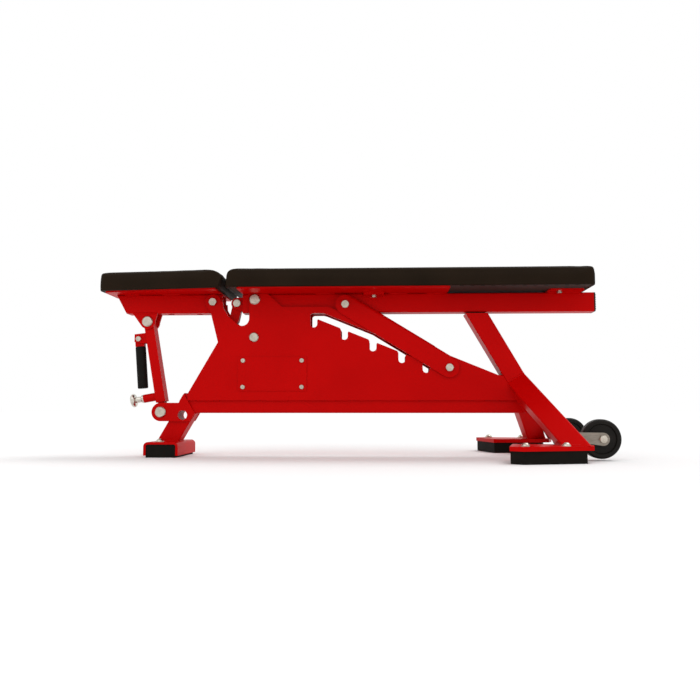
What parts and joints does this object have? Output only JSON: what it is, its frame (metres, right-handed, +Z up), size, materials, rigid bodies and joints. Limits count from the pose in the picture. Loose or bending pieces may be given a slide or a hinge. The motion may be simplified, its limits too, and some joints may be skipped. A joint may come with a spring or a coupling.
{
  "type": "adjustable weight bench",
  "caption": "Flat-to-incline weight bench with ladder-supported back, telescoping seat strut, splayed rear feet and transport wheels.",
  "frame": {"origin": "on the floor, under the middle of the bench's overall length and width, with the bench folded flat", "axes": "+X along the bench towards the wheels (the seat is at -X), +Z up, +Y across the bench"},
  "size_m": [1.3, 0.624, 0.476],
  "materials": {
    "red_paint": "satin",
    "bolts": "bright zinc",
    "bare_steel": "brushed",
    "chrome": "polished",
    "cover": "smooth vinyl",
    "plywood": "raw",
    "rubber": "matt",
    "wheel": "satin",
    "plug": "matt"
  },
  "bodies": {
    "frame": {"base_tube": "red_paint", "front_leg_tube": "red_paint", "front_gussets": "red_paint", "front_foot_plate": "red_paint", "front_foot_rubber": "rubber", "side_plate_left": "red_paint", "side_plate_right": "red_paint", "name_panels": "red_paint", "panel_screws": "bolts", "rear_post": "red_paint", "rear_leg_left": "red_paint", "rear_leg_right": "red_paint", "rear_foot_plate_left": "red_paint", "rear_foot_plate_right": "red_paint", "rear_foot_rubber_left": "rubber", "rear_foot_rubber_right": "rubber", "foot_bolts": "bolts", "wheel_brackets": "bare_steel", "wheel_axle_left": "bolts", "wheel_axle_right": "bolts", "post_rest_pad": "rubber", "back_pivot_pin": "bolts", "spacer_pin": "bolts", "seat_hinge_bolt": "bolts", "strut_lower_pin": "bolts", "back_stop_bar": "red_paint", "wheel_bushes": "bare_steel"},
    "seat": {"seat_tube": "red_paint", "seat_mount_plate": "red_paint", "seat_board": "plywood", "seat_pad": "cover", "seat_pad_nose": "cover", "seat_pad_bolts": "bolts", "strut_brackets": "red_paint", "strut_upper_pin": "bolts"},
    "strut_outer": {"strut_outer_tube": "red_paint", "handle_bracket": "red_paint", "handle_bolt": "bolts", "pin_housing": "red_paint", "pin_ferrule": "chrome", "pin_spring": "chrome"},
    "pull_pin": {"pull_pin": "chrome"},
    "handle": {"handle_lug": "red_paint", "handle_grip": "rubber"},
    "strut_inner": {"strut_inner_tube": "red_paint"},
    "back": {"back_tube": "red_paint", "back_mount_plate": "red_paint", "back_board": "plywood", "back_pad": "cover", "back_wings": "red_paint", "back_pad_bolts": "bolts", "back_tube_cap": "plug", "back_stop_arm": "red_paint", "stop_arm_bolt": "bolts", "brace_upper_bolt": "bolts"},
    "brace": {"brace_frame": "red_paint", "brace_lower_bolts": "bolts"},
    "support_rod": {"support_rod": "bolts"},
    "wheel_left": {"wheel_left": "wheel"},
    "wheel_right": {"wheel_right": "wheel"}
  },
  "joints": [
    {"name": "seat_tilt", "type": "hinge", "parent": "frame", "child": "seat", "pos_m": [-0.361, 0, 0.4035], "axis": [0, 1, 0], "range_deg": [0, 15], "deforming": ["seat_pad_nose"]},
    {"name": "strut_top_swing", "type": "hinge", "parent": "seat", "child": "strut_outer", "pos_m": [-0.537, 0, 0.354], "axis": [0, 1, 0], "range_deg": [-15, 0]},
    {"name": "strut_foot_swing", "type": "hinge", "parent": "frame", "child": "strut_inner", "pos_m": [-0.495, 0, 0.1147], "axis": [0, 1, 0], "range_deg": [0, 0.5]},
    {"name": "pin_lock", "type": "slide", "parent": "strut_outer", "child": "pull_pin", "axis": [0.9849, 0, 0.1729], "range_m": [0, 0.008], "stiffness_N_per_m": 400, "springref_m": 0.014, "deforming": ["pin_spring"]},
    {"name": "handle_swing", "type": "hinge", "parent": "strut_outer", "child": "handle", "pos_m": [-0.563, 0, 0.3085], "axis": [0, 1, 0], "range_deg": [0, 100]},
    {"name": "back_incline", "type": "hinge", "parent": "frame", "child": "back", "pos_m": [-0.2505, 0, 0.41], "axis": [0, -1, 0], "range_deg": [0, 85]},
    {"name": "brace_swing", "type": "hinge", "parent": "back", "child": "brace", "pos_m": [-0.012, 0, 0.3945], "axis": [0, -1, 0], "range_deg": [-117, 0]},
    {"name": "rod_slide", "type": "slide", "parent": "frame", "child": "support_rod", "axis": [-0.9259, 0, 0.3778], "range_m": [0, 0.357]},
    {"name": "wheel_left_spin", "type": "hinge", "parent": "frame", "child": "wheel_left", "pos_m": [0.603, -0.15, 0.051], "axis": [0, 1, 0], "continuous": true},
    {"name": "wheel_right_spin", "type": "hinge", "parent": "frame", "child": "wheel_right", "pos_m": [0.603, 0.15, 0.051], "axis": [0, 1, 0], "continuous": true}
  ],
  "couplings": [
    {"joint": "strut_top_swing", "follows": "seat_tilt", "ratio": -0.98087},
    {"joint": "strut_foot_swing", "follows": "seat_tilt", "ratio": 0.01913},
    {"joint": "brace_swing", "follows": "back_incline", "ratio": -1.3747},
    {"joint": "rod_slide", "follows": "back_incline", "m_per_rad": 0.24033}
  ]
}
